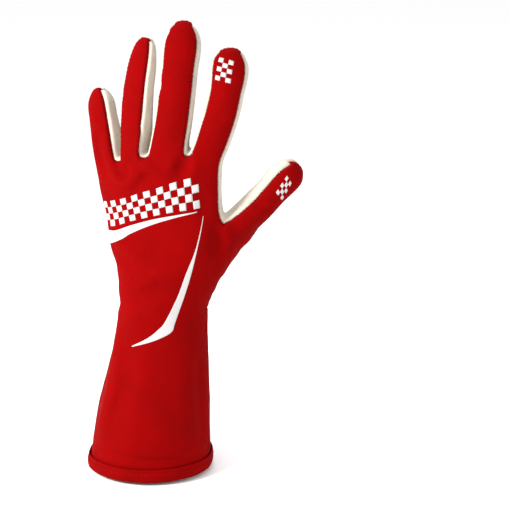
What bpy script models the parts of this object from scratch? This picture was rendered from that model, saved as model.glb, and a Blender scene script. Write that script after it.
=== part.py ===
"""A long-cuffed racing glove for the left hand, worn: fingers up (+Z), back of the hand to the front (-Y),
thumb to the right (+X). The origin is the centre of the cuff's mouth. All lengths are in metres."""

import math
from collections import namedtuple

import bmesh
import bpy
from mathutils import Vector

# Cuff: a flared tube from the mouth up to the wrist.
CUFF_LENGTH = 0.128
MOUTH_WIDTH = 0.0945
MOUTH_DEPTH = 0.084
WRIST_WIDTH = 0.0675
WRIST_DEPTH = 0.058
WRIST_TO_THUMB = 0.0115  # the wrist stands this far to the thumb's side of the mouth's centre
WRIST_TO_BACK = 0.006  # and this far to the back

# Hand: from the wrist up to the crotches of the fingers.
HAND_LENGTH = 0.115
PALM_WIDTH = 0.089
PALM_DEPTH = 0.0265
ARCH = 0.038  # how far the little finger's edge of the hand curves away from the plane of its back
ARCH_POWER = 2.4
THUMB_SET = 0.014  # how far the thumb's root stands out to the palm's side
SIDE_SHARE = 0.035  # the side wall's share of the hand's width, at each edge
WEB_RISE = 0.005  # the thumb's crotch is this much higher, and farther out, at the palm than at the back
PINCH_REACH = 2.2  # columns from the fork's over which the hand's pinch fades out
SPREAD_POWER = 1.5  # how late up the hand the columns leave the wrist's spacing for the fingers'
CROTCH_POWER = 6  # how late up the hand the rows bend to the crotches' heights

# Cloth.
KNIT_WALL = 0.0016
SUEDE_WALL = 0.0013
SEAM_GAP = 0.0006

# Hem: a band folded round the edge of the cuff's mouth.
HEM_HEIGHT = 0.0115
HEM_PROUD = 0.0024
HEM_WALL = 0.0014
HEM_GAP = 0.0004
HEM_FLOOR = 0.0014  # thickness of the fold below the cuff's edge

# Grip pads on the heel of the palm.
PAD_THICKNESS = 0.0010
PAD_GAP = 0.0003
PAD_INSET = 0.0008  # from the lines of the palm's rows to the pad's edge

# At a corner of a sheet its two borders' pushes are added up: a sum under LEAST_PUSH is taken as none, and the corner
# moves by no more than MOST_INSET times the borders' own distance.
LEAST_PUSH = 0.2
MOST_INSET = 2.0

# Edges of each finger's panels: along its back or its front, and across its side.
BACK_EDGES = 5
EDGES_ASIDE = 2
FINGERS_ABREAST = 4
STRIDE = BACK_EDGES + 1  # columns from one finger's first to the next one's, with the web between them
FORK = STRIDE * FINGERS_ABREAST - 1  # the column of the thumb's crotch
LAST = FORK + BACK_EDGES  # the column of the thumb's outer edge
SIDE_ANGLE = math.radians(30)  # half of the arc that a finger's side panel takes

# Where the cuff's back and front columns start and end, as angles from the little finger's side.
BACK_FROM, BACK_TO = math.radians(10), math.radians(158)
FRONT_FROM, FRONT_TO = math.radians(38), math.radians(158)

# Rows of faces along each stretch.
CUFF_ROWS = 8
HEEL_ROWS = 8
PALM_ROWS = 5

# The rows and columns of the heel of the palm that each grip pad covers, the lower one first.
PAD_ROWS = (range(2, 5), range(5, 8))
PAD_COLUMNS = range(1, 12)

# A section of the cuff: its height, as a share of CUFF_LENGTH, and how much of the flare is left there.
CuffSection = namedtuple("CuffSection", "up flare")
CUFF = (
    CuffSection(0.00, 1.00),
    CuffSection(0.12, 0.93),
    CuffSection(0.28, 0.79),
    CuffSection(0.49, 0.55),
    CuffSection(0.72, 0.26),
    CuffSection(0.89, 0.07),
    CuffSection(1.00, 0.00),
)

# A section of the hand. up and drop are shares of HAND_LENGTH: drop is how far the thumb's outer edge lies below
# the rest of the section. little, fork and outer are places across, as shares of PALM_WIDTH from the hand's middle.
# deep goes from 0 at PALM_DEPTH to 1 at WRIST_DEPTH, arch is a share of ARCH, set a share of THUMB_SET, pinch a
# share of the depth taken off at the fork's column, and square is the oval's power.
HandSection = namedtuple("HandSection", "up little fork outer drop deep arch set pinch square")
HAND = (
    HandSection(0.00, -0.379, 0.250, 0.379, 0.000, 1.00, 0.00, 0.0, 0.00, 2.0),
    HandSection(0.20, -0.372, 0.340, 0.500, 0.020, 0.80, 0.15, 0.4, 0.04, 2.0),
    HandSection(0.40, -0.405, 0.415, 0.650, 0.050, 0.55, 0.40, 0.8, 0.15, 2.1),
    HandSection(0.59, -0.450, 0.490, 0.806, 0.095, 0.34, 0.65, 1.0, 0.36, 2.2),
    HandSection(0.80, -0.500, 0.500, 0.806, 0.095, 0.12, 0.90, 1.0, 0.36, 2.4),
    HandSection(1.00, -0.545, 0.505, 0.806, 0.095, 0.00, 1.00, 1.0, 0.36, 2.6),
)
FORK_UP = 0.59

# The edges and crotches of the fingers along the knuckles: across is a share of the hand's width from the little
# finger's edge, web is the width of the crotch, as such a share too, and up is the height over the last section, as
# a share of HAND_LENGTH.
Crotch = namedtuple("Crotch", "across web up")
CROTCHES = (
    Crotch(SIDE_SHARE, 0.000, -0.05),
    Crotch(0.245, 0.030, -0.01),
    Crotch(0.430, 0.045, 0.03),
    Crotch(0.740, 0.028, 0.06),
    Crotch(1 - SIDE_SHARE, 0.000, -0.03),
)

# The fingers. lean is from upright towards the thumb and roll turns the back towards the little finger's side, in
# degrees. bow is how far the middle of the finger stands to the thumb's side, and curl how far the tip bends to
# the palm's side, as shares of the length. taper makes the tip blunt under 1 and slim over 1.
Finger = namedtuple("Finger", "length width depth lean bow curl roll taper")
LITTLE = Finger(0.050, 0.0250, 0.0210, -9, -0.010, 0.14, 46, 1.25)
RING = Finger(0.084, 0.0255, 0.0205, 6.3, -0.035, 0.13, 46, 1.25)
MIDDLE = Finger(0.092, 0.0290, 0.0215, 7.3, 0.000, 0.20, 12, 1.0)
INDEX = Finger(0.079, 0.0275, 0.0205, 14, 0.050, 0.16, 9, 0.7)
THUMB = Finger(0.062, 0.0255, 0.0240, 42, 0.000, 0.00, -25, 0.8)
FINGERS = (LITTLE, RING, MIDDLE, INDEX)

# A section of a finger: along is a share of its length, wide and thick are shares of its width and depth.
FingerSection = namedtuple("FingerSection", "along wide thick")
FINGER = (
    FingerSection(0.13, 0.98, 1.10),
    FingerSection(0.28, 1.00, 1.05),
    FingerSection(0.44, 1.00, 0.98),
    FingerSection(0.60, 0.98, 0.95),
    FingerSection(0.74, 0.95, 0.92),
    FingerSection(0.86, 0.86, 0.82),
    FingerSection(0.94, 0.71, 0.70),
    FingerSection(0.98, 0.50, 0.52),
)
TIP_WIDE = 0.24  # half the length of the seam over a fingertip, as a share of the finger's width
ROOT = 0.26  # over this share of its length a finger takes its own section from that of its base
NEAR = 0.02  # the step, as a share of its length, over which a finger's direction at a place is taken

# The main dents and folds, on the back or on the palm: across and up are their middle, as shares of PALM_WIDTH from
# the hand's middle and of HAND_LENGTH from the wrist. slant is from level, in degrees. long and broad are half
# sizes, as shares of PALM_WIDTH. height is the rise, or the dent where it is negative, in metres.
Fold = namedtuple("Fold", "across up slant long broad height")
BACK_FOLDS = (
    Fold(-0.44, 0.24, 0, 0.30, 0.10, -0.0022),
    Fold(-0.44, 0.43, 10, 0.26, 0.09, 0.0026),
    Fold(-0.30, 0.20, 12, 0.34, 0.07, 0.0012),
    Fold(-0.32, 0.86, 40, 0.24, 0.07, 0.0014),
    Fold(0.20, 0.96, 90, 0.16, 0.06, -0.0016),
    Fold(-0.33, 1.00, 80, 0.12, 0.06, -0.0012),
)
PALM_FOLDS = (
    Fold(0.05, 0.06, 0, 0.45, 0.07, -0.0030),
    Fold(0.40, 0.50, 60, 0.30, 0.16, 0.0040),
    Fold(-0.25, 0.45, 80, 0.34, 0.14, 0.0030),
    Fold(0.05, 0.86, -8, 0.40, 0.06, -0.0018),
)
# Folds reach past the hand's edges: they are full where the normal's part towards their side is FOLD_FACING plus
# FOLD_FADE or more, and gone at FOLD_FACING.
FOLD_FACING = -0.35
FOLD_FADE = 0.5

Colour = namedtuple("Colour", "red green blue")
RED = Colour(0.52, 0.004, 0.006)
CREAM = Colour(0.74, 0.69, 0.58)
BLACK = Colour(0.012, 0.012, 0.014)


def lerp(a, b, t):
    return a + (b - a) * t


def between(sections, place):
    """The section at this place, the first column, on a smooth curve through the sections given."""
    rows = [sections[0], *sections, sections[-1]]
    i = 1
    while i < len(rows) - 3 and place > rows[i + 1][0]:
        i += 1
    t = (place - rows[i][0]) / (rows[i + 1][0] - rows[i][0])
    found = []
    for a, b, c, d in zip(rows[i - 1], rows[i], rows[i + 1], rows[i + 2]):
        out = (c - a) / 2
        into = (d - b) / 2
        bend = 2 * b - 2 * c + out + into
        found.append(b + t * (out + t * (c - b - out - bend + t * bend)))
    return type(sections[0])(*found)


def wrist_share(angle):
    """Where this angle from the little finger's side lies across the wrist, from 0 to 1."""
    return (1 - math.cos(angle)) / 2


def back_angle(column):
    return lerp(BACK_FROM, BACK_TO, column / LAST)


def front_angle(column):
    return lerp(FRONT_FROM, FRONT_TO, column / LAST)


def oval(share, power):
    """Half the thickness of an oval at a share across it, from 0 to 1."""
    return max(0.0, 1 - abs(2 * share - 1) ** power) ** (1 / power)


class Ring:
    """One closed row of points: its back and its front, each from the little finger's edge to the thumb's, and the
    middle point of its side wall at either end."""

    def __init__(self, back, front, little_side, thumb_side):
        self.back = back
        self.front = front
        self.little_side = little_side
        self.thumb_side = thumb_side

    def loop(self):
        """The points in order: back, thumb's side, front turned round, little finger's side."""
        return [*self.back, self.thumb_side, *reversed(self.front), self.little_side]


def cuff_ring(up):
    """The row of the cuff at this share of its length."""
    flare = between(CUFF, up).flare
    half_width = lerp(WRIST_WIDTH, MOUTH_WIDTH, flare) / 2
    half_depth = lerp(WRIST_DEPTH, MOUTH_DEPTH, flare) / 2

    def point(angle, side):
        x = WRIST_TO_THUMB * (1 - flare) - half_width * math.cos(angle)
        y = -WRIST_TO_BACK * (1 - flare) + side * half_depth * math.sin(angle)
        return Vector((x, y, up * CUFF_LENGTH))

    back = [point(back_angle(c), -1) for c in range(LAST + 1)]
    front = [point(front_angle(c), 1) for c in range(LAST + 1)]
    little_side = point((FRONT_FROM - BACK_FROM) / 2, 1)
    thumb_side = point(math.pi + (FRONT_TO - BACK_TO) / 2, 1)
    return Ring(back, front, little_side, thumb_side)


def knuckle_share(column):
    """Where a column meets the knuckles, and how high over the last section: it runs from crotch to crotch."""
    finger = column // STRIDE
    t = (column % STRIDE) / BACK_EDGES
    low, high = CROTCHES[finger], CROTCHES[finger + 1]
    return lerp(low.across + low.web / 2, high.across - high.web / 2, t), lerp(low.up, high.up, t)


def hand_ring(up):
    """The row of the hand at this share of its length. Up to the fork it takes in the thumb's columns."""
    section = between(HAND, up)
    forked = up > FORK_UP
    little = section.little * PALM_WIDTH
    fork = section.fork * PALM_WIDTH
    outer = fork if forked else section.outer * PALM_WIDTH
    half_depth = lerp(PALM_DEPTH, WRIST_DEPTH, section.deep) / 2
    plane = -WRIST_TO_BACK - WRIST_DEPTH / 2 + half_depth
    z = CUFF_LENGTH + up * HAND_LENGTH
    arch = ARCH * section.arch
    turned = min(1, up / FORK_UP)

    def beyond(share):
        """How far this share of the width lies from the fork to the thumb's outer edge."""
        return 0.0 if forked else max(0.0, lerp(little, outer, share) - fork) / (outer - fork)

    def place(share, side, pinch, lift):
        """A point at a share of the width, on the back (side -1), the front (1) or the edge (0)."""
        inward = max(0.0, 1 - share * (outer - little) / (fork - little))
        sink = arch * inward**ARCH_POWER + THUMB_SET * section.set * beyond(share) ** 2
        slope = math.atan(arch * ARCH_POWER * inward ** (ARCH_POWER - 1) / (fork - little))
        half = half_depth * oval(share, section.square) * (1 - pinch)
        x = WRIST_TO_THUMB + lerp(little, outer, share) + side * half * math.sin(slope)
        rise = lift * HAND_LENGTH * up**CROTCH_POWER - section.drop * HAND_LENGTH * beyond(share)
        return Vector((x, plane + sink + side * half * math.cos(slope), z + rise))

    def row(angle, side):
        """The points of the back or of the front. angle gives each column's place round the wrist."""
        low = lerp(wrist_share(angle(0)), SIDE_SHARE, turned)
        high = 1 - lerp(1 - wrist_share(angle(LAST)), SIDE_SHARE, turned)
        fork_share = (fork - little) / (outer - little) if not forked else high
        fork_share = lerp(wrist_share(angle(FORK)), fork_share, turned)
        points = []
        for column in range((FORK if forked else LAST) + 1):
            knuckle, lift = knuckle_share(min(column, FORK))
            if column <= FORK:
                even = (wrist_share(angle(column)) - wrist_share(angle(0))) / (
                    wrist_share(angle(FORK)) - wrist_share(angle(0)))
                above = (knuckle - CROTCHES[0].across) / (CROTCHES[-1].across - CROTCHES[0].across)
                share = lerp(low, fork_share, lerp(even, above, up**SPREAD_POWER))
            else:
                even = (wrist_share(angle(column)) - wrist_share(angle(FORK))) / (
                    wrist_share(angle(LAST)) - wrist_share(angle(FORK)))
                share = lerp(fork_share, high, even)
            pinch = 0.0 if forked else section.pinch * math.exp(-(((column - FORK) / PINCH_REACH) ** 2))
            points.append(place(share, side, pinch, lift))
        return points

    # The side walls' middle points start where the cuff's are and end on the hand's edges.
    little_share = lerp(wrist_share((FRONT_FROM - BACK_FROM) / 2), 0, turned)
    little_side = place(little_share, 1, 0, CROTCHES[0].up)
    thumb_side = place(1, 0, 0, CROTCHES[-1].up)
    return Ring(row(back_angle, -1), row(front_angle, 1), little_side, thumb_side)


def part_ring(ring, first, last, little_side, thumb_side):
    """The part of a ring from one column to another, closed by the middle points of its new side walls."""
    return Ring(ring.back[first : last + 1], ring.front[first : last + 1], little_side, thumb_side)


def risen(base, move, own, weight):
    """A ring between a finger's base, moved up the finger, and its own section."""

    def mix(a, b):
        return (a + move).lerp(b, weight)

    back = [mix(a, b) for a, b in zip(base.back, own.back)]
    front = [mix(a, b) for a, b in zip(base.front, own.front)]
    return Ring(back, front, mix(base.little_side, own.little_side), mix(base.thumb_side, own.thumb_side))


def finger_rings(finger, base):
    """The rows of a finger, from the one over its base up to the tip, which is an open row of points."""
    points = base.loop()
    foot = sum(points, Vector()) / len(points)
    lean = math.radians(finger.lean)
    along = Vector((math.sin(lean), 0, math.cos(lean)))
    aside = Vector((math.cos(lean), 0, -math.sin(lean)))
    palmwards = Vector((0, 1, 0))

    def centre(t):
        bowed = aside * finger.bow * math.sin(math.pi * min(t, 1))
        return foot + finger.length * (along * t + bowed + palmwards * finger.curl * t * t)

    def frame(t):
        """The finger's directions at t: to the thumb's side and to the palm's side."""
        forward = (centre(t + NEAR) - centre(t - NEAR)).normalized()
        across = (aside - forward * aside.dot(forward)).normalized()
        front = forward.cross(across)
        roll = math.radians(finger.roll)
        return across * math.cos(roll) - front * math.sin(roll), front * math.cos(roll) + across * math.sin(roll)

    rings = []
    for section in FINGER:
        across, front = frame(section.along)
        middle = centre(section.along)
        half_width = finger.width * (1 - finger.taper * (1 - section.wide)) / 2
        half_depth = finger.depth * (1 - finger.taper * (1 - section.thick)) / 2

        def at(angle):
            return middle - across * half_width * math.cos(angle) + front * half_depth * math.sin(angle)

        angles = [lerp(SIDE_ANGLE, math.pi - SIDE_ANGLE, c / BACK_EDGES) for c in range(BACK_EDGES + 1)]
        own = Ring([at(-a) for a in angles], [at(a) for a in angles], at(0), at(math.pi))
        t = min(1, section.along / ROOT)
        rings.append(risen(base, middle - foot, own, t * t * (3 - 2 * t)))
    across, _ = frame(1)
    reach = finger.width * TIP_WIDE
    tip = [centre(1) + across * reach * (2 * c / BACK_EDGES - 1) for c in range(1, BACK_EDGES)]
    return rings, tip


class Shell:
    """The glove's outer surface as one mesh, with each face marked by the panel that it is cut from."""

    def __init__(self):
        self.mesh = bmesh.new()
        self.panel = self.mesh.faces.layers.int.new("panel")
        self.column = self.mesh.faces.layers.int.new("column")
        self.row = self.mesh.faces.layers.int.new("row")
        self.known = {}
        self.names = []

    def vertex(self, point):
        """One vertex for each point: rings that share a point share its vertex."""
        key = id(point)
        if key not in self.known:
            self.known[key] = (self.mesh.verts.new(point), point)
        return self.known[key][0]

    def face(self, points, panel):
        if panel not in self.names:
            self.names.append(panel)
        made = self.mesh.faces.new([self.vertex(p) for p in points])
        made[self.panel] = self.names.index(panel)
        return made

    def join(self, low, high, panels, row=-1):
        """The faces between two rings. panels names those of the back, thumb's side, front and little's side. The
        front's faces keep their row and column."""
        below, above = low.loop(), high.loop()
        wide = len(low.back) - 1
        count = len(below)
        for i in range(count):
            if i < wide:
                panel = panels[0]
            elif i < wide + EDGES_ASIDE:
                panel = panels[1]
            elif i < 2 * wide + EDGES_ASIDE:
                panel = panels[2]
            else:
                panel = panels[3]
            j = (i + 1) % count
            made = self.face((below[i], below[j], above[j], above[i]), panel)
            made[self.column] = 2 * wide + EDGES_ASIDE - 1 - i
            made[self.row] = row

    def close_tip(self, ring, tip, back, front):
        """The faces over a fingertip, which meet along its seam."""
        seam = [ring.little_side, *tip, ring.thumb_side]
        for i in range(len(seam) - 1):
            self.face((ring.back[i], ring.back[i + 1], seam[i + 1], seam[i]), back)
            self.face((ring.front[i + 1], ring.front[i], seam[i], seam[i + 1]), front)


def add_folds(shell):
    """Presses the main dents and folds into the surface, along its normals."""
    shell.mesh.normal_update()
    moves = {}
    for vertex in shell.mesh.verts:
        normal = vertex.normal
        total = 0.0
        for folds, facing in ((BACK_FOLDS, -normal.y), (PALM_FOLDS, normal.y)):
            weight = min(1.0, max(0.0, (facing - FOLD_FACING) / FOLD_FADE))
            for fold in folds:
                slant = math.radians(fold.slant)
                x = vertex.co.x - WRIST_TO_THUMB - fold.across * PALM_WIDTH
                z = vertex.co.z - CUFF_LENGTH - fold.up * HAND_LENGTH
                along = (x * math.cos(slant) + z * math.sin(slant)) / (fold.long * PALM_WIDTH)
                off = (z * math.cos(slant) - x * math.sin(slant)) / (fold.broad * PALM_WIDTH)
                total += weight * fold.height * math.exp(-along * along - off * off)
        moves[vertex] = normal * total
    for vertex, move in moves.items():
        vertex.co += move


def make_shell():
    """The outer surface of the whole glove."""
    shell = Shell()
    edge = (HEM_FLOOR + HEM_GAP) / CUFF_LENGTH
    cuff = [cuff_ring(lerp(edge, 1, i / CUFF_ROWS)) for i in range(CUFF_ROWS)]
    heel = [hand_ring(FORK_UP * (i / HEEL_ROWS)) for i in range(HEEL_ROWS + 1)]
    for low, high in zip(cuff, [*cuff[1:], heel[0]]):
        shell.join(low, high, ("back", "cuff_front", "cuff_front", "back"))
    for row, (low, high) in enumerate(zip(heel, heel[1:])):
        shell.join(low, high, ("back", "back", "palm", "back"), row)

    fork = heel[-1]
    fork.front[FORK].z += WEB_RISE
    fork.front[FORK].x += WEB_RISE
    crotch = fork.back[FORK].lerp(fork.front[FORK], 0.5)
    hand = part_ring(fork, 0, FORK, fork.little_side, crotch)
    thumb = part_ring(fork, FORK, LAST, crotch, fork.thumb_side)

    rows = [hand_ring(lerp(FORK_UP, 1, i / PALM_ROWS)) for i in range(1, PALM_ROWS + 1)]
    for low, high in zip([hand, *rows], rows):
        shell.join(low, high, ("back", "palm", "palm", "back"))

    knuckles = rows[-1]
    sides = ["back", "fourchette_little_ring", "fourchette_ring_middle", "fourchette_middle_index", "palm"]
    little_web = knuckles.little_side
    for i, finger in enumerate(FINGERS):
        first = STRIDE * i
        last = first + BACK_EDGES
        thumb_web, next_web = knuckles.thumb_side, None
        if last < FORK:
            thumb_web = knuckles.back[last].lerp(knuckles.front[last], 0.5)
            next_web = knuckles.back[last + 1].lerp(knuckles.front[last + 1], 0.5)
            shell.face((knuckles.back[last], knuckles.back[last + 1], next_web, thumb_web), sides[i + 1])
            shell.face((thumb_web, next_web, knuckles.front[last + 1], knuckles.front[last]), sides[i + 1])
        base = part_ring(knuckles, first, last, little_web, thumb_web)
        make_finger(shell, finger, base, sides[i + 1], sides[i])
        little_web = next_web
    make_finger(shell, THUMB, thumb, "back", "palm")
    add_folds(shell)
    shell.mesh.normal_update()
    return shell


def make_finger(shell, finger, base, thumb_side, little_side):
    rings, tip = finger_rings(finger, base)
    for low, high in zip([base, *rings], rings):
        shell.join(low, high, ("back", thumb_side, "palm", little_side))
    shell.close_tip(rings[-1], tip, "back", "palm")


def inset(vertex, face_set, distance):
    """How far a sheet's edge vertex moves, along the sheet, so that its border draws back by this distance."""
    borders = [e for e in vertex.link_edges if sum(f in face_set for f in e.link_faces) == 1]
    push = Vector()
    for edge in borders:
        inside = next(f for f in edge.link_faces if f in face_set)
        away = inside.calc_center_median() - edge.verts[0].co
        direction = (edge.verts[1].co - edge.verts[0].co).normalized()
        away -= direction * away.dot(direction)
        push += away.normalized()
    if push.length < LEAST_PUSH:
        return Vector()
    return push.normalized() * min(MOST_INSET, 2 / push.length) * distance


def cut_panel(shell, name, low, high):
    """A solid of the panel's faces, from low to high over the outer surface. Its edges keep clear of the seams."""
    index = shell.names.index(name)
    faces = [f for f in shell.mesh.faces if f[shell.panel] == index]
    return sheet_solid(faces, low, high, SEAM_GAP / 2)


def sheet_solid(faces, low, high, drawn_back):
    """A closed sheet over these faces, between two heights over the surface that they belong to."""
    face_set = set(faces)
    solid = bmesh.new()
    tops, bottoms = {}, {}
    for vertex in {v for f in faces for v in f.verts}:
        move = Vector()
        if any(f not in face_set for f in vertex.link_faces) or vertex.is_boundary:
            move = inset(vertex, face_set, drawn_back)
        tops[vertex] = solid.verts.new(vertex.co + move + vertex.normal * high)
        bottoms[vertex] = solid.verts.new(vertex.co + move + vertex.normal * low)
    for face in faces:
        # The lower face starts at the same corner as the upper one, so that both split along the same diagonal.
        first, *others = face.verts
        solid.faces.new([tops[v] for v in (first, *others)])
        solid.faces.new([bottoms[v] for v in (first, *reversed(others))])
        for loop in face.loops:
            if all(f is face or f not in face_set for f in loop.edge.link_faces):
                a, b = loop.vert, loop.link_loop_next.vert
                solid.faces.new((tops[b], tops[a], bottoms[a], bottoms[b]))
    return solid


def make_hem():
    """A band folded round the lower edge of the cuff, outside and inside, with the edge in its channel."""
    mouth = cuff_ring(0).loop()
    top = cuff_ring(HEM_HEIGHT / CUFF_LENGTH).loop()
    thick = KNIT_WALL + HEM_GAP
    # How far out of the cuff's surface and how high each corner of the band's section is.
    section = (
        (HEM_PROUD * 0.75, HEM_HEIGHT),
        (HEM_PROUD, HEM_HEIGHT * 0.55),
        (HEM_PROUD * 0.80, HEM_HEIGHT * 0.15),
        (0.0, 0.0),
        (-thick - HEM_WALL, HEM_HEIGHT * 0.08),
        (-thick - HEM_WALL, HEM_HEIGHT * 0.85),
        (-thick, HEM_HEIGHT * 0.85),
        (-thick, HEM_FLOOR),
        (HEM_GAP, HEM_FLOOR),
        (HEM_GAP, HEM_HEIGHT),
    )
    solid = bmesh.new()
    rows = []
    count = len(mouth)
    for i in range(count):
        way = (mouth[(i + 1) % count] - mouth[i - 1]).normalized()
        out = way.cross(Vector((0, 0, 1)))
        row = []
        for proud, height in section:
            foot = mouth[i].lerp(top[i], height / HEM_HEIGHT)
            row.append(solid.verts.new(foot + out * proud))
        rows.append(row)
    for i in range(count):
        here, there = rows[i], rows[(i + 1) % count]
        for j in range(len(section)):
            k = (j + 1) % len(section)
            solid.faces.new((here[j], here[k], there[k], there[j]))
    return solid


def make_pads(shell):
    """Two thin grip pads on the heel of the palm, one over the other."""
    palm = shell.names.index("palm")
    pads = []
    for rows in PAD_ROWS:
        faces = []
        for face in shell.mesh.faces:
            if face[shell.panel] == palm and face[shell.row] in rows and face[shell.column] in PAD_COLUMNS:
                faces.append(face)
        pads.append(sheet_solid(faces, PAD_GAP, PAD_GAP + PAD_THICKNESS, PAD_INSET))
    return pads


def material(name, colour, roughness):
    made = bpy.data.materials.new(name)
    made.use_nodes = True
    shader = made.node_tree.nodes["Principled BSDF"]
    shader.inputs["Base Color"].default_value = (*colour, 1)
    shader.inputs["Roughness"].default_value = roughness
    shader.inputs["Metallic"].default_value = 0.0
    return made


def add_object(name, solid, finish):
    bmesh.ops.recalc_face_normals(solid, faces=solid.faces)
    mesh = bpy.data.meshes.new(name)
    solid.to_mesh(mesh)
    solid.free()
    mesh.materials.append(finish)
    made = bpy.data.objects.new(name, mesh)
    bpy.context.scene.collection.objects.link(made)
    return made


def main():
    for old in list(bpy.data.objects):
        bpy.data.objects.remove(old)
    knit = material("red_knit", RED, 0.85)
    suede = material("cream_suede", CREAM, 0.9)
    silicone = material("black_silicone", BLACK, 0.5)
    shell = make_shell()
    for name in shell.names:
        red = name in ("back", "cuff_front")
        wall = KNIT_WALL if red else SUEDE_WALL
        add_object(name, cut_panel(shell, name, -wall, 0.0), knit if red else suede)
    add_object("hem_band", make_hem(), knit)
    lower, upper = make_pads(shell)
    add_object("grip_pad_lower", lower, silicone)
    add_object("grip_pad_upper", upper, silicone)
    shell.mesh.free()


main()
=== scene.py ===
"""Looks of the racing glove: red knit back and cuff, cream suede palm, printed stripes, hem and stitches.
Lengths are in metres, in the frame of the CAD model: fingers up, back of the hand to -Y, thumb to +X. Only the
functions that make rays take pixels or millimetres."""

import math
from collections import namedtuple

import bmesh
import bpy
import numpy as np
from mathutils import Matrix, Vector, noise
from mathutils.bvhtree import BVHTree
from mathutils.kdtree import KDTree


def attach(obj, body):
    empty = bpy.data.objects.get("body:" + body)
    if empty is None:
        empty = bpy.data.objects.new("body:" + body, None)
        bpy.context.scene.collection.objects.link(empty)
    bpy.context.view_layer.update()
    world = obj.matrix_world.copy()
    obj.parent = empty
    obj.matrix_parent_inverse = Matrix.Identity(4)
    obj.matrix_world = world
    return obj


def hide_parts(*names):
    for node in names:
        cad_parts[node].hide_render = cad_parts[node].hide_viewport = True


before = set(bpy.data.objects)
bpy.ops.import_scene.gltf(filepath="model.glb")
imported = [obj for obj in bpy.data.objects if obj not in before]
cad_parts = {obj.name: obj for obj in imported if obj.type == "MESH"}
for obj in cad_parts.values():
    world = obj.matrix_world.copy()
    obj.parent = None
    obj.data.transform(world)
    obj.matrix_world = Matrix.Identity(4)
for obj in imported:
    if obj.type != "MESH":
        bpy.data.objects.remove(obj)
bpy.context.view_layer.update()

# The cloth's walls, as in the CAD model.
KNIT_WALL = 0.0016
SUEDE_WALL = 0.0013
WALLS = {
    "back": KNIT_WALL,
    "cuff_front": KNIT_WALL,
    "palm": SUEDE_WALL,
    "fourchette_little_ring": SUEDE_WALL,
    "fourchette_ring_middle": SUEDE_WALL,
    "fourchette_middle_index": SUEDE_WALL,
}
SAME = 2e-6  # two lengths that differ by less are the same
QUAD_ORDER = 2.0  # how much whole rows of quads count when pairs of triangles are joined
SEAM_REACH = 0.0016  # the edges of two panels meet at a seam if they are nearer than this
EDGE_SHARE = 6  # a sheet is told by the nearest of its edge's points: one in this many
FINE_LEVELS = 3  # how often the faces of the hem and the pads are halved
LONGEST_FACE = 0.0026  # faces longer than this are cut before the last smoothing, which halves them

# Camera: the point TARGET of the glove is seen at the pixel SEEN_AT.
IMAGE = 509  # the photograph's width and height in pixels
FOCAL_PIXELS = 1749.66
SENSOR = 36  # millimetres
NEAR_CLIP = 0.01
TARGET = Vector((0.0172, 0, 0.162))
SEEN_AT = (170.2, 258.0)
CAMERA_DISTANCE = 1.3
LOOK_DOWN = math.radians(17)


def camera_frame():
    """The camera's place, and its directions to the right, up and ahead."""
    ahead = Vector((0, math.cos(LOOK_DOWN), -math.sin(LOOK_DOWN)))
    place = TARGET - ahead * CAMERA_DISTANCE
    right = ahead.cross(Vector((0, 0, 1))).normalized()
    up = right.cross(ahead)
    aside = IMAGE / 2 - SEEN_AT[0]
    below = IMAGE / 2 - SEEN_AT[1]
    aim = (ahead * FOCAL_PIXELS + right * aside - up * below).normalized()
    right = aim.cross(Vector((0, 0, 1))).normalized()
    return place, right, right.cross(aim), aim


EYE, EYE_RIGHT, EYE_UP, EYE_AHEAD = camera_frame()


def make_camera():
    camera = bpy.data.objects.new("camera", bpy.data.cameras.new("camera"))
    bpy.context.scene.collection.objects.link(camera)
    camera.data.sensor_width = SENSOR
    camera.data.lens = FOCAL_PIXELS / IMAGE * SENSOR
    camera.data.clip_start = NEAR_CLIP
    axes = Matrix((EYE_RIGHT, EYE_UP, -EYE_AHEAD)).transposed()
    camera.matrix_world = Matrix.Translation(EYE) @ axes.to_4x4()
    bpy.context.scene.camera = camera


def only(piece):
    """Selects this object alone, and makes it the active one."""
    bpy.ops.object.select_all(action="DESELECT")
    piece.select_set(True)
    bpy.context.view_layer.objects.active = piece


def new_object(name, mesh):
    piece = bpy.data.objects.new(name, mesh)
    bpy.context.scene.collection.objects.link(piece)
    return piece


def smooth(piece):
    for face in piece.data.polygons:
        face.use_smooth = True


def apply_modifier(piece, kind, **settings):
    only(piece)
    modifier = piece.modifiers.new(kind.title(), kind)
    for name, value in settings.items():
        setattr(modifier, name, value)
    bpy.ops.object.modifier_apply(modifier=modifier.name)


def subdivide(piece, levels, **settings):
    apply_modifier(piece, "SUBSURF", levels=levels, render_levels=levels, **settings)


def merged_copy(node, name):
    """A copy of a CAD node, with its loose triangles merged."""
    copy = new_object(name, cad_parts[node].data.copy())
    copy.data.materials.clear()
    only(copy)
    bpy.ops.object.mode_set(mode="EDIT")
    bpy.ops.mesh.select_all(action="SELECT")
    bpy.ops.mesh.remove_doubles(threshold=SAME / 2)
    bpy.ops.object.mode_set(mode="OBJECT")
    return copy


def to_quads(piece):
    """Joins pairs of triangles into the quads that they were."""
    only(piece)
    bpy.ops.object.mode_set(mode="EDIT")
    bpy.ops.mesh.select_all(action="SELECT")
    bpy.ops.mesh.tris_convert_to_quads(
        face_threshold=math.pi, shape_threshold=math.pi, topology_influence=QUAD_ORDER
    )
    bpy.ops.object.mode_set(mode="OBJECT")


def connected(faces):
    """The faces in groups that share edges."""
    left = set(faces)
    groups = []
    while left:
        queue = [left.pop()]
        group = []
        while queue:
            face = queue.pop()
            group.append(face)
            for edge in face.edges:
                for other in edge.link_faces:
                    if other in left:
                        left.remove(other)
                        queue.append(other)
        groups.append(group)
    return groups


def tree_of(points):
    tree = KDTree(len(points))
    for i, point in enumerate(points):
        tree.insert(point, i)
    tree.balance()
    return tree


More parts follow.
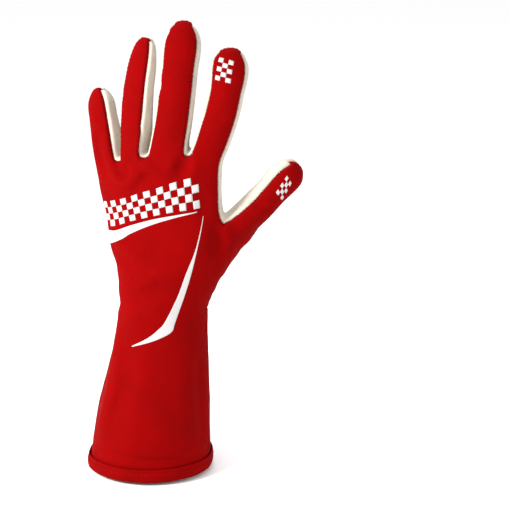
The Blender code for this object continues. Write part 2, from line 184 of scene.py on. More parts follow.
def keep_outer_sheet(piece, wall, beside=None):
    """Leaves only the outer face of a closed cloth wall. Beside is a tree of the points of the back's outer
    sheet, whose edge the sheet that stays lies along."""
    bm = bmesh.new()
    bm.from_mesh(piece.data)
    tree = tree_of([v.co for v in bm.verts])
    twins = {}
    for v in bm.verts:
        found = tree.find_range(v.co, wall + SAME)
        twins[v.index] = {i for _, i, far in found if abs(far - wall) < SAME}
    rims = [f for f in bm.faces if any(b.index in twins[a.index] for a in f.verts for b in f.verts)]
    bmesh.ops.delete(bm, geom=rims, context="FACES")
    groups = connected(bm.faces)

    def score(group):
        if beside is None:
            return -sum(f.calc_area() for f in group)
        edge = {v for f in group for e in f.edges if e.is_boundary for v in e.verts}
        nearest = sorted(beside.find(v.co)[2] for v in edge)
        return sum(nearest[: len(nearest) // EDGE_SHARE])

    groups.sort(key=score)
    bmesh.ops.delete(bm, geom=[f for g in groups[1:] for f in g], context="FACES")
    bm.to_mesh(piece.data)
    bm.free()


def lay_flat(piece):
    """Gives the sheet a UV map in metres, laid flat as its cut, with V along +Z as nearly as it can."""
    only(piece)
    for layer in list(piece.data.uv_layers):
        piece.data.uv_layers.remove(layer)
    piece.data.uv_layers.new(name="cut")
    bpy.ops.object.mode_set(mode="EDIT")
    bpy.ops.mesh.select_all(action="SELECT")
    bpy.ops.uv.unwrap(method="ANGLE_BASED", margin=0.0)
    bpy.ops.object.mode_set(mode="OBJECT")
    mesh = piece.data
    layer = mesh.uv_layers["cut"].data
    flat = np.array([layer[i].uv[:] for i in range(len(mesh.loops))])
    heights = np.array([mesh.vertices[l.vertex_index].co.z for l in mesh.loops])
    flat_area = 0.0
    for face in mesh.polygons:
        corners = flat[list(face.loop_indices)]
        turned = np.roll(corners, -1, axis=0)
        flat_area += abs(float((corners[:, 0] * turned[:, 1] - corners[:, 1] * turned[:, 0]).sum())) / 2
    scale = math.sqrt(sum(f.area for f in mesh.polygons) / flat_area)
    slope = np.linalg.lstsq(np.c_[flat, np.ones(len(flat))], heights, rcond=None)[0]
    angle = math.atan2(slope[0], slope[1])
    turn = np.array([[math.cos(angle), math.sin(angle)], [-math.sin(angle), math.cos(angle)]])
    flat = (flat - flat.mean(axis=0)) @ turn * scale
    for i, uv in enumerate(flat):
        layer[i].uv = uv


def cut_long_rings(piece):
    """Halves rows of faces until none is longer than LONGEST_FACE. A row is cut all the way, so that quads
    stay quads."""
    bm = bmesh.new()
    bm.from_mesh(piece.data)
    while True:
        bm.edges.index_update()
        parent = list(range(len(bm.edges)))

        def root(i):
            while parent[i] != i:
                parent[i] = parent[parent[i]]
                i = parent[i]
            return i

        for face in bm.faces:
            a, b, c, d = (loop.edge.index for loop in face.loops)
            parent[root(a)] = root(c)
            parent[root(b)] = root(d)
        rings = {}
        for edge in bm.edges:
            rings.setdefault(root(edge.index), []).append(edge)
        long = []
        for edges in rings.values():
            if sum(e.calc_length() for e in edges) / len(edges) > LONGEST_FACE:
                long += edges
        if not long:
            break
        bmesh.ops.subdivide_edges(bm, edges=long, cuts=1, use_grid_fill=True)
    bm.to_mesh(piece.data)
    bm.free()


def join_seams(skin):
    """Joins the edges of the panels: each point of an edge goes with the nearest one of another panel."""
    bm = bmesh.new()
    bm.from_mesh(skin.data)
    edge = [v for v in bm.verts if v.is_boundary]
    tree = tree_of([v.co for v in edge])
    group = {v: v for v in edge}

    def first(v):
        while group[v] != v:
            v = group[v]
        return v

    for v in edge:
        panel = v.link_faces[0].material_index
        found = sorted(tree.find_range(v.co, SEAM_REACH), key=lambda hit: hit[2])
        others = [edge[i] for _, i, _ in found]
        other = next((o for o in others if o.link_faces[0].material_index != panel), None)
        if other:
            group[first(other)] = first(v)
    joined = {}
    for v in edge:
        joined.setdefault(first(v), []).append(v)
    moves = {}
    for target, points in joined.items():
        target.co = sum((p.co for p in points), Vector()) / len(points)
        moves.update({p: target for p in points if p != target})
    bmesh.ops.weld_verts(bm, targetmap=moves)
    bm.to_mesh(skin.data)
    bm.free()


def make_skin():
    """The outer surface of all the cloth as one mesh of fine quads, with a material slot for each panel."""
    sheets = []
    beside = None
    for node, wall in WALLS.items():
        sheet = merged_copy(node, node)
        keep_outer_sheet(sheet, wall, beside)
        to_quads(sheet)
        if beside is None:
            beside = tree_of([v.co.copy() for v in sheet.data.vertices])
        lay_flat(sheet)
        sheet.data.materials.append(bpy.data.materials.new(node))
        sheets.append(sheet)
    only(sheets[0])
    for sheet in sheets:
        sheet.select_set(True)
    bpy.ops.object.join()
    skin = bpy.context.view_layer.objects.active
    skin.name = "skin"
    join_seams(skin)
    subdivide(skin, 1, boundary_smooth="PRESERVE_CORNERS")
    cut_long_rings(skin)
    subdivide(skin, 1, boundary_smooth="PRESERVE_CORNERS")
    smooth(skin)
    return skin


OUTSIDE = 0.3  # this far from the glove's middle is outside it
JUST_PAST = 0.0005  # past a surface that a ray has met


def seen(x, y):
    """The ray from the camera through a pixel of the photograph."""
    across = x - IMAGE / 2
    below = y - IMAGE / 2
    return EYE, (EYE_AHEAD * FOCAL_PIXELS + EYE_RIGHT * across - EYE_UP * below).normalized()


def from_little(y, z):
    """The ray onto the little finger's side at this y and z, in millimetres."""
    return Vector((-OUTSIDE, y / 1000, z / 1000)), Vector((1, 0, 0))


def from_thumb(y, z):
    """The ray onto the thumb's side at this y and z, in millimetres."""
    return Vector((OUTSIDE, y / 1000, z / 1000)), Vector((-1, 0, 0))


def from_palm(x, z):
    """The ray onto the palm at this x and z, in millimetres."""
    return Vector((x / 1000, OUTSIDE, z / 1000)), Vector((0, -1, 0))


def surface_of(piece):
    points = [v.co for v in piece.data.vertices]
    return BVHTree.FromPolygons(points, [p.vertices for p in piece.data.polygons])


def on_surface(tree, ray):
    """Where a ray meets the surface, or the nearest point to where it passes the glove's middle."""
    start, way = ray
    hit = tree.ray_cast(start, way)[0]
    if hit is None:
        hit = tree.find_nearest(start + way * (TARGET - start).dot(way))[0]
    return hit


# A fingertip: rays onto the finger near its end and lower down, how long its rounding is, and how much it
# widens.
Tip = namedtuple("Tip", "upper lower reach widen")
TIPS = (
    Tip(seen(184, 32), seen(180, 66), 0.034, 0.17),
    Tip(seen(231, 60), seen(225, 92), 0.032, 0.17),
    Tip(seen(146, 50), seen(141, 76), 0.026, 0.06),
    Tip(seen(101, 100), seen(104, 120), 0.020, 0.05),
    Tip(seen(289, 172), seen(270, 196), 0.028, 0.16),
)
TIP_DOME = 0.0016  # how much higher the middle of a tip gets than its corners
TIP_BALL = 0.007  # the dome's depth and half width
DOME_MIDDLE = 0.5  # the share of TIP_DOME by which its middle rises
DOME_ENDS = 1.4  # past this many times TIP_BALL aside, the dome falls no further
WIDEST_AT = 0.62  # below 1, a tip is widest nearer its end than the middle of its reach
WIDEST_BROAD = 1.3  # above 1, the widening ends more softly
FINGER_HALF = 0.0165  # what is farther from a finger's middle line isn't part of it


def middle_of(tree, ray):
    """The middle between where a ray enters and leaves the finger."""
    start, way = ray
    first = tree.ray_cast(start, way)[0]
    last = tree.ray_cast(first + way * JUST_PAST, way)[0]
    return np.array((first + last) / 2)


def round_tips(skin):
    """Fills the fingertips out, and rounds their ends."""
    mesh = skin.data
    places = np.array([v.co[:] for v in mesh.vertices])
    tree = surface_of(skin)
    for tip in TIPS:
        upper = middle_of(tree, tip.upper)
        axis = upper - middle_of(tree, tip.lower)
        axis /= np.linalg.norm(axis)
        along = (places - upper) @ axis
        out = places - upper - along[:, None] * axis
        aside = np.linalg.norm(out, axis=1)
        index = np.flatnonzero((aside < FINGER_HALF) & (along > -tip.reach) & (along < tip.reach))
        along, out, aside = along[index], out[index], aside[index]
        depth = along.max() - along
        t = np.clip(depth / tip.reach, 0, 1)
        wider = tip.widen * np.sin(math.pi * t**WIDEST_AT) ** WIDEST_BROAD
        round_off = DOME_MIDDLE - np.clip(aside / TIP_BALL, 0, DOME_ENDS) ** 2
        dome = TIP_DOME * round_off * np.exp(-((depth / TIP_BALL) ** 2))
        places[index] += out * wider[:, None] + axis * dome[:, None]
    mesh.vertices.foreach_set("co", places.astype(np.float32).ravel())
    mesh.update()


# A soft fold: the kind of ray onto its points, where the rays go, how broad and how high the fold is. A
# negative height makes a hollow.
Fold = namedtuple("Fold", "ray places broad high")
FOLDS = (
    # back of the hand: the light ridge and the hollows under the crotches
    Fold(seen, ((143, 165), (134, 175), (125, 187)), 0.0042, 0.0015),
    Fold(seen, ((116, 160), (121, 170), (131, 178)), 0.0040, -0.0017),
    Fold(seen, ((184, 158), (182, 168), (176, 178)), 0.0044, -0.0015),
    Fold(seen, ((141, 160), (148, 168), (160, 172)), 0.0036, 0.0010),
    Fold(seen, ((199, 190), (203, 205), (204, 222)), 0.0050, -0.0007),
    Fold(seen, ((222, 222), (229, 240), (231, 262)), 0.0034, 0.0005),
    Fold(seen, ((231, 214), (240, 232), (240, 252)), 0.0036, -0.0004),
    Fold(seen, ((214, 232), (217, 255), (213, 280)), 0.0040, -0.0006),
    # wrist: the bulge at the little finger's side and what spreads from it
    Fold(seen, ((113, 238), (124, 247), (146, 252)), 0.0040, 0.0010),
    Fold(seen, ((118, 260), (132, 266), (156, 270)), 0.0044, -0.0009),
    Fold(seen, ((121, 282), (136, 284), (158, 279)), 0.0040, 0.0007),
    Fold(seen, ((120, 306), (140, 303), (166, 292)), 0.0050, -0.0005),
    Fold(seen, ((198, 300), (207, 314), (208, 334)), 0.0030, -0.0006),
    # cuff: long soft folds that fan out to the hem
    Fold(seen, ((112, 330), (104, 380), (98, 430)), 0.0060, 0.0008),
    Fold(seen, ((128, 350), (124, 400), (120, 446)), 0.0070, -0.0006),
    Fold(seen, ((178, 352), (184, 400), (190, 446)), 0.0070, 0.0006),
    Fold(seen, ((198, 356), (201, 400), (203, 440)), 0.0040, -0.0008),
    Fold(seen, ((95, 444), (130, 459), (158, 463), (190, 458), (210, 446)), 0.0034, -0.0006),
    # fingers: slight hollows where they bend
    Fold(seen, ((96, 118), (101, 121), (107, 121)), 0.0030, -0.0005),
    Fold(seen, ((124, 96), (130, 99), (136, 99)), 0.0034, -0.0006),
    Fold(seen, ((158, 84), (172, 87), (186, 86)), 0.0040, -0.0004),
    Fold(seen, ((206, 112), (216, 117), (227, 119)), 0.0036, -0.0005),
    Fold(seen, ((252, 196), (259, 203), (268, 207)), 0.0034, -0.0006),
    # little finger's side of the hand and the wrist
    Fold(from_little, ((-2, 262), (-2, 242), (-6, 226)), 0.0036, -0.0010),
    Fold(from_little, ((16, 196), (8, 184), (-6, 178)), 0.0044, -0.0007),
    Fold(from_little, ((22, 158), (8, 152), (-10, 155)), 0.0040, 0.0008),
    Fold(from_little, ((20, 134), (4, 130), (-16, 134)), 0.0044, -0.0008),
    Fold(from_little, ((24, 100), (14, 60), (12, 26)), 0.0060, -0.0008),
    Fold(from_little, ((-14, 110), (-20, 66), (-22, 24)), 0.0060, 0.0007),
    # palm: the folds round the ball of the thumb, across the palm and under the fingers
    Fold(from_palm, ((48, 206), (36, 196), (26, 178), (22, 160)), 0.0032, -0.0012),
    Fold(from_palm, ((56, 198), (44, 184), (36, 166), (34, 152)), 0.0030, 0.0008),
    Fold(from_palm, ((60, 184), (50, 172), (44, 156)), 0.0028, -0.0008),
    Fold(from_palm, ((-24, 214), (-4, 211), (18, 216), (38, 224)), 0.0030, -0.0010),
    Fold(from_palm, ((-22, 202), (0, 199), (22, 204)), 0.0030, 0.0006),
    Fold(from_palm, ((-16, 188), (-8, 172), (-4, 156)), 0.0040, -0.0008),
    Fold(from_palm, ((-10, 146), (10, 142), (34, 146)), 0.0034, -0.0008),
    Fold(from_palm, ((-8, 137), (12, 134), (34, 138)), 0.0030, 0.0007),
    Fold(from_palm, ((-31, 262), (-26, 263), (-22, 263)), 0.0022, -0.0008),
    Fold(from_palm, ((-9, 270), (-3, 271), (3, 271)), 0.0024, -0.0009),
    Fold(from_palm, ((-6, 294), (-1, 295), (4, 295)), 0.0022, -0.0008),
    Fold(from_palm, ((14, 268), (22, 270), (30, 269)), 0.0026, -0.0009),
    Fold(from_palm, ((18, 298), (25, 299), (32, 298)), 0.0024, -0.0008),
    Fold(from_palm, ((44, 264), (51, 266), (58, 265)), 0.0026, -0.0009),
    Fold(from_palm, ((51, 288), (58, 290), (65, 289)), 0.0024, -0.0008),
    Fold(from_palm, ((78, 206), (84, 200), (89, 196)), 0.0026, -0.0008),
    # thumb's side of the wrist
    Fold(from_thumb, ((-14, 150), (-2, 144), (8, 148)), 0.0036, -0.0008),
    Fold(from_thumb, ((-12, 136), (0, 131), (8, 134)), 0.0034, 0.0007),
    Fold(from_thumb, ((4, 108), (8, 66), (12, 24)), 0.0060, -0.0007),
)
FOLD_SCALE = 1.7  # every fold is this many times as high as the table says
MOST_HIGH = 0.0019  # folds and unevenness together come to no more than this
FOLD_STEP = 0.0012  # between the points that a fold's line is drawn with
FOLD_REACH = 4  # farther off than this many times its breadth, a fold does nothing
FOLD_ENDS = 0.7  # how suddenly a fold ends: less is more sudden
SAME_SIDE = -0.2  # a fold shapes only what faces its own way at least this much
UNDER = 0.4  # the hollows along a ridge, as a share of its height
UNDER_AT = 1.9  # how far off they lie, and how broad they are, as shares of its breadth
UNDER_BROAD = 0.9
SEAM_DEEP = 0.0009  # the groove along a seam
SEAM_BROAD = 0.0010
SEAM_PUFF = 0.00022  # the cloth's rise beside it
SEAM_PUFF_AT = 0.0026
SEAM_PUFF_BROAD = 0.0013
SAG = ((50, 0.00032), (130, 0.00012))  # the cloth's unevenness: how many times a metre, and how high
HEM_CLEAR = (0.0115, 0.018)  # folds and unevenness start over the hem, and are full from the second height up


def fold_line(tree, fold):
    """Close points along a fold, on the surface."""
    corners = [on_surface(tree, fold.ray(*place)) for place in fold.places]
    line = []
    for a, b in zip(corners, corners[1:]):
        steps = max(2, round((b - a).length / FOLD_STEP))
        line += [tree.find_nearest(a.lerp(b, i / steps))[0] for i in range(steps)]
    return np.array([*line, corners[-1]])


def seam_points(skin):
    """Points along the edges where two panels meet."""
    bm = bmesh.new()
    bm.from_mesh(skin.data)
    found = []
    for edge in bm.edges:
        if len(edge.link_faces) == 2 and len({f.material_index for f in edge.link_faces}) == 2:
            a, b = (v.co.copy() for v in edge.verts)
            found += [a, b, (a + b) / 2]
    bm.free()
    return found


def shape_skin(skin):
    """Presses the seams, folds and unevenness into the surface."""
    mesh = skin.data
    count = len(mesh.vertices)
    places = np.empty(count * 3, np.float32)
    mesh.vertices.foreach_get("co", places)
    places = places.reshape(-1, 3).astype(float)
    normals = np.array([v.normal[:] for v in mesh.vertices])
    tree = surface_of(skin)
    height = np.zeros(count)
    for fold in FOLDS:
        line = fold_line(tree, fold)
        reach = np.ptp(line, axis=0).max() / 2 + FOLD_REACH * fold.broad
        index = np.flatnonzero(np.abs(places - line.mean(axis=0)).max(axis=1) < reach)
        gaps = np.linalg.norm(places[index, None, :] - line[None], axis=2)
        off = gaps.min(axis=1) / fold.broad
        end = np.sin(math.pi * np.clip((gaps.argmin(axis=1) + 0.5) / len(line), 0, 1)) ** FOLD_ENDS
        facing = np.array([tree.find_nearest(Vector(line[len(line) // 2]))[1][:]])
        same_side = (normals[index] * facing).sum(axis=1) > SAME_SIDE
        wave = np.exp(-(off**2)) - UNDER * np.exp(-(((off - UNDER_AT) / UNDER_BROAD) ** 2))
        height[index] += FOLD_SCALE * fold.high * wave * end * same_side
    for often, high in SAG:
        height += [high * noise.noise(Vector(p) * often) for p in places]
    height = MOST_HIGH * np.tanh(height / MOST_HIGH)
    low, full = HEM_CLEAR
    height *= np.clip((places[:, 2] - low) / (full - low), 0, 1)
    seams = tree_of(seam_points(skin))
    off = np.array([seams.find(p)[2] for p in places])
    height -= SEAM_DEEP * np.exp(-((off / SEAM_BROAD) ** 2))
    height += SEAM_PUFF * np.exp(-(((off - SEAM_PUFF_AT) / SEAM_PUFF_BROAD) ** 2))
    places += normals * height[:, None]
    mesh.vertices.foreach_set("co", places.astype(np.float32).ravel())
    mesh.update()


# Materials.
MIX_FIRST = 6  # the sockets of a Mix node's two colours, and of what it puts out
MIX_SECOND = 7
MIX_RESULT = 2
WOBBLE_OFTEN = 160.0  # how the knit's rows wander: how many times a metre, and how far
WOBBLE_FAR = 0.0007
LEG_SLANT = 1.1  # how steep the legs of a stitch's V are
ROW_RELIEF = (0.3, 0.7)
# What a finish takes from a pattern, as what the pattern is multiplied by and what is then added.
KNIT_PATCHES = (0.7, 0.15)
# the stitches' relief in the knit's colour: painted shade in their gaps, painted light on their tops
KNIT_STITCH_PAINTED_SHADE = 0.35
KNIT_FUZZ = (0.3, -0.15)
KNIT_ROUGH = (0.16, 0.72)
KNIT_FUZZ_HIGH = 0.5
SUEDE_PATCHES = (0.9, -0.05)
SUEDE_BRUSHED = (0.6, -0.2)
SUEDE_ROUGH = (0.2, 0.78)
SUEDE_FUZZ_HIGH = 0.8
PRINT_ROUGH_SPREAD = 0.25
PRINT_ROUGH_DROP = 0.1
THREAD_ROUGH = (0.2, 0.5)
THREAD_TWIST = 900.0
# The strength and the distance of each finish's bump.
KNIT_BUMP = (0.35, 0.0003)
SUEDE_BUMP = (0.4, 0.0003)
PRINT_BUMP = (0.25, 0.0002)
THREAD_BUMP = (0.3, 0.0001)

# A finish's colour lies between two tones. In the knit and the thread the deep one is painted shade in the
# gaps of the stitches and the twist, and the light one painted light on what stands up; in the knit random
# patches share the spread, and in the suede and the prints it is only tone that differs at random.
Tones = namedtuple("Tones", "deep light")
RED = Tones((0.115, 0.0003, 0.0004), (0.24, 0.0006, 0.0008))
CREAM = Tones((0.40, 0.35, 0.28), (0.60, 0.55, 0.48))
NATURAL = Tones((0.34, 0.31, 0.26), (0.48, 0.45, 0.40))
WHITE = Tones((0.43, 0.42, 0.41), (0.50, 0.49, 0.48))
BLACK = Tones((0.002, 0.002, 0.002), (0.005, 0.005, 0.006))
BLACK_RUBBER = Tones((0.002, 0.002, 0.002), (0.006, 0.006, 0.007))
# the threads' two tones: painted shade in the grooves of the twist, painted light on its ridges
RED_THREAD_LIT_AND_SHADED = Tones((0.10, 0.0004, 0.0006), (0.27, 0.001, 0.001))
CREAM_THREAD_LIT_AND_SHADED = Tones((0.36, 0.33, 0.27), (0.62, 0.58, 0.50))


def new_material(name, **values):
    made = bpy.data.materials.new(name)
    made.use_nodes = True
    shader = made.node_tree.nodes["Principled BSDF"]
    for key, value in values.items():
        shader.inputs[key.replace("_", " ")].default_value = value
    return made, made.node_tree, shader


def node_of(tree, kind, **values):
    made = tree.nodes.new("ShaderNode" + kind)
    for key, value in values.items():
        setattr(made, key, value)
    return made


def maths(tree, operation, a, b=0.0, c=0.0):
    """A Math node. Each input is a number or another node's output."""
    made = node_of(tree, "Math", operation=operation)
    for i, value in enumerate((a, b, c)):
        if isinstance(value, (int, float)):
            made.inputs[i].default_value = value
        else:
            tree.links.new(value, made.inputs[i])
    return made.outputs[0]


def mix_colour(tree, factor, tones):
    made = node_of(tree, "Mix", data_type="RGBA")
    tree.links.new(factor, made.inputs["Factor"])
    made.inputs[MIX_FIRST].default_value = (*tones.deep, 1)
    made.inputs[MIX_SECOND].default_value = (*tones.light, 1)
    return made.outputs[MIX_RESULT]


def noise_of(tree, vector, scale, detail=2.0, rough=0.5):
    made = node_of(tree, "TexNoise")
    made.inputs["Scale"].default_value = scale
    made.inputs["Detail"].default_value = detail
    made.inputs["Roughness"].default_value = rough
    tree.links.new(vector, made.inputs["Vector"])
    return made.outputs["Fac"]


def group_of(name, inputs, outputs):
    """A shader node group with these sockets: name to (kind, default)."""
    tree = bpy.data.node_groups.new(name, "ShaderNodeTree")
    for side, sockets in (("INPUT", inputs), ("OUTPUT", outputs)):
        for key, (kind, value) in sockets.items():
            made = tree.interface.new_socket(key, in_out=side, socket_type="NodeSocket" + kind)
            if value is not None:
                made.default_value = value
    return tree, tree.nodes.new("NodeGroupInput"), tree.nodes.new("NodeGroupOutput")


def make_knit_group():
    """Rows of small V stitches on a UV map in metres."""
    tree, given, out = group_of(
        "Knit Stitches",
        {"Cut": ("Vector", None), "Stitch Width": ("Float", 0.0009), "Stitch Height": ("Float", 0.0007)},
        {"Height": ("Float", None)},
    )
    split = node_of(tree, "SeparateXYZ")
    tree.links.new(given.outputs["Cut"], split.inputs[0])
    wobble = maths(tree, "MULTIPLY", noise_of(tree, given.outputs["Cut"], WOBBLE_OFTEN), WOBBLE_FAR)
    across = maths(tree, "ADD", split.outputs["X"], wobble)
    across = maths(tree, "DIVIDE", across, given.outputs["Stitch Width"])
    along = maths(tree, "ADD", split.outputs["Y"], wobble)
    along = maths(tree, "DIVIDE", along, given.outputs["Stitch Height"])
    leg = maths(tree, "ABSOLUTE", maths(tree, "SUBTRACT", maths(tree, "FRACT", across), 0.5))
    rib = maths(tree, "SINE", maths(tree, "MULTIPLY", leg, 2 * math.pi))
    slanted = maths(tree, "SUBTRACT", along, maths(tree, "MULTIPLY", leg, LEG_SLANT))
    row = maths(tree, "COSINE", maths(tree, "MULTIPLY", slanted, 2 * math.pi))
    row = maths(tree, "MULTIPLY_ADD", row, *ROW_RELIEF)
    tree.links.new(maths(tree, "MULTIPLY", rib, row), out.inputs["Height"])
    return tree


def make_wear_group():
    """Slow unevenness of a cloth's colour, and light fuzz in spots, on Object coordinates."""
    tree, given, out = group_of(
        "Cloth Wear",
        {"Place": ("Vector", None), "Patch Size": ("Float", 40.0), "Fuzz Size": ("Float", 900.0)},
        {"Patches": ("Float", None), "Fuzz": ("Float", None)},
    )
    for put_out, size, detail in (("Patches", "Patch Size", 3.0), ("Fuzz", "Fuzz Size", 2.0)):
        made = node_of(tree, "TexNoise")
        made.inputs["Detail"].default_value = detail
        tree.links.new(given.outputs[size], made.inputs["Scale"])
        tree.links.new(given.outputs["Place"], made.inputs["Vector"])
        tree.links.new(made.outputs["Fac"], out.inputs[put_out])
    return tree


KNIT_GROUP = make_knit_group()
WEAR_GROUP = make_wear_group()


def use_group(tree, group, **values):
    made = tree.nodes.new("ShaderNodeGroup")
    made.node_tree = group
    for key, value in values.items():
        name = key.replace("_", " ")
        if isinstance(value, (int, float)):
            made.inputs[name].default_value = value
        else:
            tree.links.new(value, made.inputs[name])
    return made


def add_bump(tree, shader, height, strength, distance):
    bump = node_of(tree, "Bump")
    bump.inputs["Strength"].default_value = strength
    bump.inputs["Distance"].default_value = distance
    tree.links.new(height, bump.inputs["Height"])
    tree.links.new(bump.outputs[0], shader.inputs["Normal"])


def place_of(tree):
    return node_of(tree, "TexCoord").outputs["Object"]


def make_knit(name, tones):
    """A fine knit, its colour deep in the gaps of its stitches: painted shade."""
    tint = (*tones.light, 1)
    made, tree, shader = new_material(
        name, Sheen_Weight=0.015, Sheen_Roughness=0.45, Sheen_Tint=tint, Specular_IOR_Level=0.02
    )
    place = place_of(tree)
    knit = use_group(tree, KNIT_GROUP, Cut=node_of(tree, "UVMap", uv_map="cut").outputs[0])
    wear = use_group(tree, WEAR_GROUP, Place=place)
    shade = maths(tree, "MULTIPLY_ADD", wear.outputs["Patches"], *KNIT_PATCHES)
    # painted shade and light: the stitches' relief darkens the colour in their gaps and lightens it on their
    # tops
    shade = maths(tree, "ADD", shade, maths(tree, "MULTIPLY", knit.outputs["Height"], KNIT_STITCH_PAINTED_SHADE))
    shade = maths(tree, "ADD", shade, maths(tree, "MULTIPLY_ADD", wear.outputs["Fuzz"], *KNIT_FUZZ))
    tree.links.new(mix_colour(tree, shade, tones), shader.inputs["Base Color"])
    rough = maths(tree, "MULTIPLY_ADD", wear.outputs["Patches"], *KNIT_ROUGH)
    tree.links.new(rough, shader.inputs["Roughness"])
    fuzz = maths(tree, "MULTIPLY", wear.outputs["Fuzz"], KNIT_FUZZ_HIGH)
    add_bump(tree, shader, maths(tree, "ADD", knit.outputs["Height"], fuzz), *KNIT_BUMP)
    return made


def make_suede(name, tones):
    tint = (*tones.light, 1)
    made, tree, shader = new_material(
        name, Sheen_Weight=0.08, Sheen_Roughness=0.5, Sheen_Tint=tint, Specular_IOR_Level=0.08
    )
    place = place_of(tree)
    wear = use_group(tree, WEAR_GROUP, Place=place, Patch_Size=70.0, Fuzz_Size=1400.0)
    brushed = noise_of(tree, place, 260.0, 4.0, 0.6)
    shade = maths(tree, "MULTIPLY_ADD", wear.outputs["Patches"], *SUEDE_PATCHES)
    shade = maths(tree, "ADD", shade, maths(tree, "MULTIPLY_ADD", brushed, *SUEDE_BRUSHED))
    tree.links.new(mix_colour(tree, shade, tones), shader.inputs["Base Color"])
    tree.links.new(maths(tree, "MULTIPLY_ADD", brushed, *SUEDE_ROUGH), shader.inputs["Roughness"])
    fuzz = maths(tree, "MULTIPLY", wear.outputs["Fuzz"], SUEDE_FUZZ_HIGH)
    add_bump(tree, shader, maths(tree, "ADD", brushed, fuzz), *SUEDE_BUMP)
    return made


def make_print(name, tones, rough):
    """A thin printed coat, over the knit's relief."""
    made, tree, shader = new_material(name, Specular_IOR_Level=0.06)
    wear = use_group(tree, WEAR_GROUP, Place=place_of(tree), Patch_Size=120.0, Fuzz_Size=1100.0)
    tree.links.new(mix_colour(tree, wear.outputs["Patches"], tones), shader.inputs["Base Color"])
    spread = (PRINT_ROUGH_SPREAD, rough - PRINT_ROUGH_DROP)
    tree.links.new(maths(tree, "MULTIPLY_ADD", wear.outputs["Fuzz"], *spread), shader.inputs["Roughness"])
    add_bump(tree, shader, wear.outputs["Fuzz"], *PRINT_BUMP)
    return made


def make_thread(name, tones):
    """Twisted thread, with painted shade in the grooves of its twist and painted light on its ridges."""
    made, tree, shader = new_material(name, Specular_IOR_Level=0.06)
    twist = node_of(tree, "TexWave", wave_type="BANDS", bands_direction="DIAGONAL")
    twist.inputs["Scale"].default_value = THREAD_TWIST
    tree.links.new(place_of(tree), twist.inputs["Vector"])
    # painted shade in the twist's grooves, painted light on its ridges
    tree.links.new(mix_colour(tree, twist.outputs["Fac"], tones), shader.inputs["Base Color"])
    rough = maths(tree, "MULTIPLY_ADD", twist.outputs["Fac"], *THREAD_ROUGH)
    tree.links.new(rough, shader.inputs["Roughness"])
    add_bump(tree, shader, twist.outputs["Fac"], *THREAD_BUMP)
    return made


RED_KNIT = make_knit("red_knit", RED)
CREAM_SUEDE = make_suede("cream_suede", CREAM)
LINING = make_knit("natural_lining", NATURAL)
WHITE_PRINT = make_print("white_print", WHITE, 0.5)
BLACK_PRINT = make_print("black_print", BLACK, 0.6)
BLACK_SILICONE = make_print("black_silicone", BLACK_RUBBER, 0.5)
RED_THREAD = make_thread("red_thread", RED_THREAD_LIT_AND_SHADED)
CREAM_THREAD = make_thread("cream_thread", CREAM_THREAD_LIT_AND_SHADED)


def finish_piece(piece, finish):
    piece.data.materials.clear()
    piece.data.materials.append(finish)
    smooth(piece)
    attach(piece, "root")


# Panels.
# A cut piece of cloth laid flat: its width and length, and its area, those of the CAD model's outer faces
# before the fingertips, folds and seams are shaped. The hem's strip is folded double. Nothing in the script
# makes one.
Cut = namedtuple("Cut", "flat area")


def make_panels(skin):
    """Cuts a copy of the skin up into its panels, and gives each its wall and lining."""
    copy = new_object("panels", skin.data.copy())
    only(copy)
    bpy.ops.mesh.separate(type="MATERIAL")
    pieces = {}
    for piece in list(bpy.context.selected_objects):
        used = piece.data.polygons[0].material_index
        node = piece.data.materials[used].name
        for face in piece.data.polygons:
            face.material_index = 0
        piece.name = node + "_cloth"
        pieces[node] = piece
        red = WALLS[node] == KNIT_WALL
        piece.data.materials.clear()
        piece.data.materials.append(RED_KNIT if red else CREAM_SUEDE)
        piece.data.materials.append(LINING)
        apply_modifier(
            piece, "SOLIDIFY", thickness=WALLS[node], offset=-1, use_even_offset=False,
            material_offset=1, material_offset_rim=0, use_quality_normals=True,
        )
        smooth(piece)
        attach(piece, "root")
        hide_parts(node)
    return pieces


# Prints.
PRINT_THICK = 0.00022  # how far a print's face stands over the surface
PRINT_SUNK = 0.0003  # how far a print's edge goes under the surface
PRINT_STEP = 0.0009  # across a print, between the points that lie on the surface
CURVE_STEPS = 14  # pieces between two given points of an edge
CHECK_CUTS = 4  # pieces along each side of a check
BAND_CHECKS = (18, 4)  # how many checks along and across
TIP_CHECKS = (5, 3)

# The two edges of each print, as rays onto the surface.
SWEEP_EDGES = (
    [seen(197, 211.5), seen(175, 215.5), seen(153, 219.5), seen(132, 225), seen(115, 230.5),
     from_little(3, 185.5), from_little(5.2, 184), from_little(6.4, 180), from_little(6.6, 173),
     from_little(6.6, 150), from_little(10.6, 120), from_little(15, 90), from_little(17.6, 60),
     from_little(19.2, 34), from_little(20.4, 26), from_little(25, 21.6), from_little(32, 19.4),
     from_little(37, 18.2)],
    [seen(197, 212.3), seen(175, 218), seen(153, 224.5), seen(132, 233), seen(116, 241.5),
     from_little(-1.6, 175.5), from_little(-0.4, 172.5), from_little(0, 168), from_little(0, 163),
     from_little(-0.4, 148), from_little(3.0, 120), from_little(7, 90), from_little(9.4, 60),
     from_little(11, 34), from_little(12.2, 23), from_little(17.6, 16), from_little(29, 13.4),
     from_little(37, 12.6)],
)
TICK_EDGES = (
    [seen(203, 216), seen(195.5, 250), seen(186, 274), seen(177, 298), seen(165, 322), seen(158, 330),
     seen(148, 338), seen(132, 346)],
    [seen(203.4, 216.2), seen(197, 250.3), seen(191, 275), seen(183.5, 299), seen(175, 323), seen(171.5, 332),
     seen(158, 339.5), seen(132, 346.9)],
)
